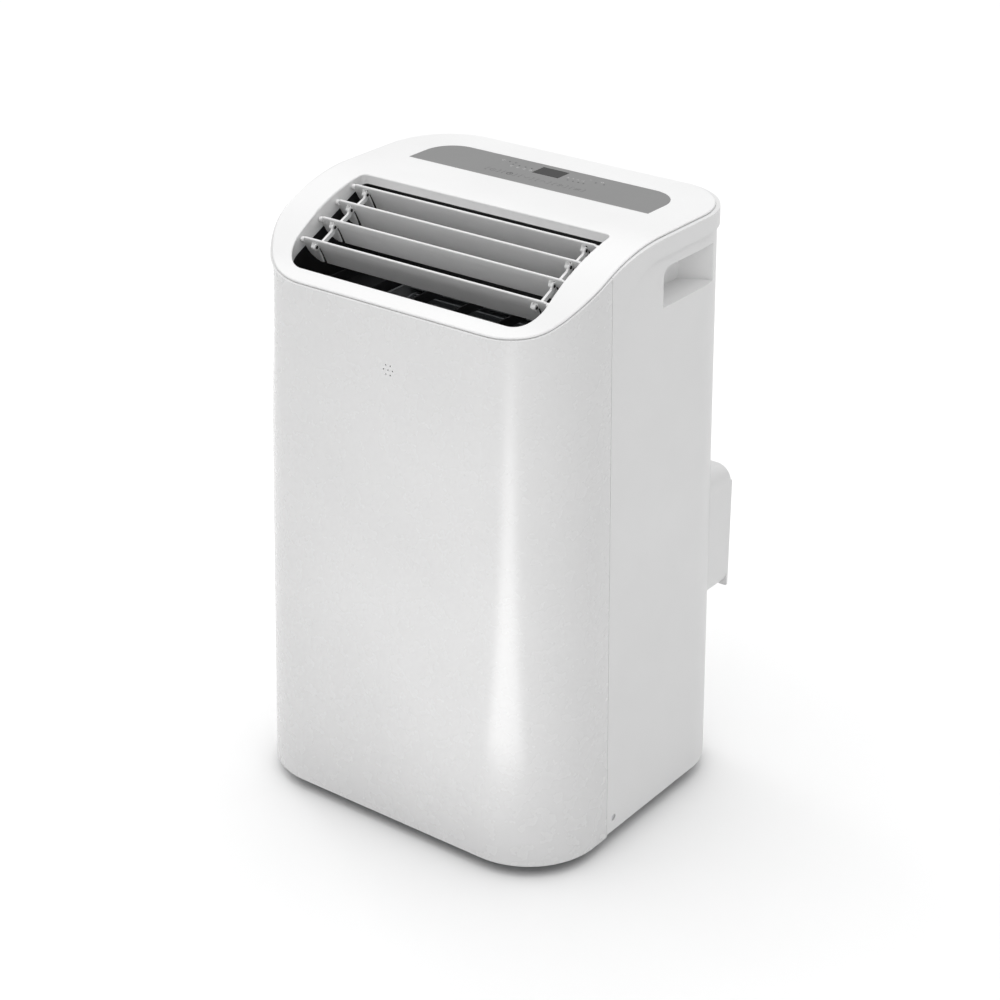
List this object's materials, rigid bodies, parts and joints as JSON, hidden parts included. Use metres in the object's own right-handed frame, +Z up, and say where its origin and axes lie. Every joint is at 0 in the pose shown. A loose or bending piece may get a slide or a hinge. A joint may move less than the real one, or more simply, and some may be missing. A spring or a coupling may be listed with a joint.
{
  "type": "portable air conditioner",
  "caption": "Upright portable air conditioner on casters with a leaning rounded white casing, louvred top outlet, control strip and rear exhaust box.",
  "frame": {"origin": "on the floor under the middle of the whole unit", "axes": "+X to the right of someone facing the front, -Y to the front, +Z up"},
  "size_m": [0.44, 0.3782, 0.6992],
  "materials": {
    "casing_white": "satin, faint moulded grain",
    "cover_white": "satin",
    "louver_white": "satin",
    "duct_black": "matt",
    "overlay_silver": "silver grey printed sheet, satin",
    "display_black": "smoked, glossy",
    "board_green": "solder mask",
    "filter_grey": "fine mesh",
    "tray_grey": "matt",
    "sheet_steel": "galvanised",
    "wheel_grey": "matt",
    "motor_steel": "zinc plated",
    "coil_aluminium": "thin fins",
    "compressor_black": "satin paint",
    "copper": "drawn copper tube",
    "rubber_black": "matt",
    "float_white": "foam",
    "screw_steel": "zinc plated",
    "caster_grey": "matt",
    "caster_rubber": "matt hard tread"
  },
  "bodies": {
    "cabinet": {"front_panel": "casing_white", "rear_casing": "casing_white", "top_cover": "cover_white", "outlet_frame": "cover_white", "outlet_duct": "duct_black", "guard_ribs": "duct_black", "guard_bars": "duct_black", "swing_motor": "motor_steel", "control_overlay": "overlay_silver", "display_window": "display_black", "control_board": "board_green", "receiver_module": "duct_black", "base_tray": "tray_grey", "drip_tray": "tray_grey", "chassis_posts": "sheet_steel", "exhaust_box": "casing_white", "exhaust_collar": "duct_black", "exhaust_duct": "tray_grey", "cord_gland": "duct_black", "evaporator_scroll": "tray_grey", "evaporator_motor": "motor_steel", "condenser_scroll": "tray_grey", "condenser_motor": "motor_steel", "evaporator_coil": "coil_aluminium", "condenser_coil": "coil_aluminium", "compressor": "compressor_black", "compressor_feet": "rubber_black", "refrigerant_pipes": "copper", "electrical_box": "sheet_steel", "run_capacitor": "sheet_steel", "float_stem": "wheel_grey", "casing_screws": "screw_steel"},
    "louver_1": {"louver_1": "louver_white"},
    "louver_2": {"louver_2": "louver_white"},
    "louver_3": {"louver_3": "louver_white"},
    "louver_4": {"louver_4": "louver_white"},
    "link_left": {"link_bar_left": "louver_white"},
    "link_right": {"link_bar_right": "louver_white"},
    "evaporator_fan": {"evaporator_wheel": "wheel_grey"},
    "condenser_fan": {"condenser_wheel": "wheel_grey"},
    "upper_intake": {"upper_intake_grille": "casing_white", "upper_filter": "filter_grey"},
    "lower_intake": {"lower_intake_grille": "casing_white", "lower_filter": "filter_grey"},
    "lower_drain_cap": {"drain_cap_lower": "rubber_black"},
    "upper_drain_cap": {"drain_cap_upper": "rubber_black"},
    "float": {"float_ring": "float_white"},
    "fork_front_left": {"caster_fork_front_left": "caster_grey"},
    "wheel_front_left": {"caster_wheel_front_left": "caster_rubber"},
    "fork_front_right": {"caster_fork_front_right": "caster_grey"},
    "wheel_front_right": {"caster_wheel_front_right": "caster_rubber"},
    "fork_rear_left": {"caster_fork_rear_left": "caster_grey"},
    "wheel_rear_left": {"caster_wheel_rear_left": "caster_rubber"},
    "fork_rear_right": {"caster_fork_rear_right": "caster_grey"},
    "wheel_rear_right": {"caster_wheel_rear_right": "caster_rubber"}
  },
  "joints": [
    {"name": "louver_1_tilt", "type": "hinge", "parent": "cabinet", "child": "louver_1", "pos_m": [0, -0.0286, 0.68787], "axis": [1, 0, 0], "range_deg": [-20, 30]},
    {"name": "louver_2_tilt", "type": "hinge", "parent": "cabinet", "child": "louver_2", "pos_m": [0, -0.0562, 0.67777], "axis": [1, 0, 0], "range_deg": [-20, 30]},
    {"name": "louver_3_tilt", "type": "hinge", "parent": "cabinet", "child": "louver_3", "pos_m": [0, -0.0843, 0.66627], "axis": [1, 0, 0], "range_deg": [-20, 30]},
    {"name": "louver_4_tilt", "type": "hinge", "parent": "cabinet", "child": "louver_4", "pos_m": [0, -0.1146, 0.65207], "axis": [1, 0, 0], "range_deg": [-20, 30]},
    {"name": "link_left_swing", "type": "hinge", "parent": "louver_1", "child": "link_left", "pos_m": [-0.1462, -0.02852, 0.68214], "axis": [1, 0, 0], "range_deg": [-30, 20]},
    {"name": "link_right_swing", "type": "hinge", "parent": "louver_1", "child": "link_right", "pos_m": [0.1462, -0.02852, 0.68214], "axis": [1, 0, 0], "range_deg": [-30, 20]},
    {"name": "evaporator_fan_spin", "type": "hinge", "parent": "cabinet", "child": "evaporator_fan", "pos_m": [0, -0.02, 0.512], "axis": [1, 0, 0], "continuous": true},
    {"name": "condenser_fan_spin", "type": "hinge", "parent": "cabinet", "child": "condenser_fan", "pos_m": [0.092, 0.06, 0.2], "axis": [0, 1, 0], "continuous": true},
    {"name": "upper_intake_pull", "type": "slide", "parent": "cabinet", "child": "upper_intake", "axis": [0, 1, 0], "range_m": [0, 0.06]},
    {"name": "lower_intake_pull", "type": "slide", "parent": "cabinet", "child": "lower_intake", "axis": [0, 1, 0], "range_m": [0, 0.06]},
    {"name": "lower_drain_cap_pull", "type": "slide", "parent": "cabinet", "child": "lower_drain_cap", "axis": [0, 1, 0], "range_m": [0, 0.03]},
    {"name": "upper_drain_cap_pull", "type": "slide", "parent": "cabinet", "child": "upper_drain_cap", "axis": [0, 1, 0], "range_m": [0, 0.03]},
    {"name": "float_travel", "type": "slide", "parent": "cabinet", "child": "float", "axis": [0, 0, 1], "range_m": [0, 0.015]},
    {"name": "swivel_front_left", "type": "hinge", "parent": "cabinet", "child": "fork_front_left", "pos_m": [-0.15, -0.118, 0.06], "axis": [0, 0, 1], "continuous": true},
    {"name": "roll_front_left", "type": "hinge", "parent": "fork_front_left", "child": "wheel_front_left", "pos_m": [-0.15, -0.105, 0.019], "axis": [1, 0, 0], "continuous": true},
    {"name": "swivel_front_right", "type": "hinge", "parent": "cabinet", "child": "fork_front_right", "pos_m": [0.15, -0.118, 0.06], "axis": [0, 0, 1], "continuous": true},
    {"name": "roll_front_right", "type": "hinge", "parent": "fork_front_right", "child": "wheel_front_right", "pos_m": [0.15, -0.105, 0.019], "axis": [1, 0, 0], "continuous": true},
    {"name": "swivel_rear_left", "type": "hinge", "parent": "cabinet", "child": "fork_rear_left", "pos_m": [-0.15, 0.112, 0.06], "axis": [0, 0, 1], "continuous": true},
    {"name": "roll_rear_left", "type": "hinge", "parent": "fork_rear_left", "child": "wheel_rear_left", "pos_m": [-0.15, 0.125, 0.019], "axis": [1, 0, 0], "continuous": true},
    {"name": "swivel_rear_right", "type": "hinge", "parent": "cabinet", "child": "fork_rear_right", "pos_m": [0.15, 0.112, 0.06], "axis": [0, 0, 1], "continuous": true},
    {"name": "roll_rear_right", "type": "hinge", "parent": "fork_rear_right", "child": "wheel_rear_right", "pos_m": [0.15, 0.125, 0.019], "axis": [1, 0, 0], "continuous": true}
  ],
  "couplings": [
    {"joint": "louver_2_tilt", "follows": "louver_1_tilt", "ratio": 1},
    {"joint": "louver_3_tilt", "follows": "louver_1_tilt", "ratio": 1},
    {"joint": "louver_4_tilt", "follows": "louver_1_tilt", "ratio": 1},
    {"joint": "link_left_swing", "follows": "louver_1_tilt", "ratio": -1},
    {"joint": "link_right_swing", "follows": "louver_1_tilt", "ratio": -1}
  ]
}
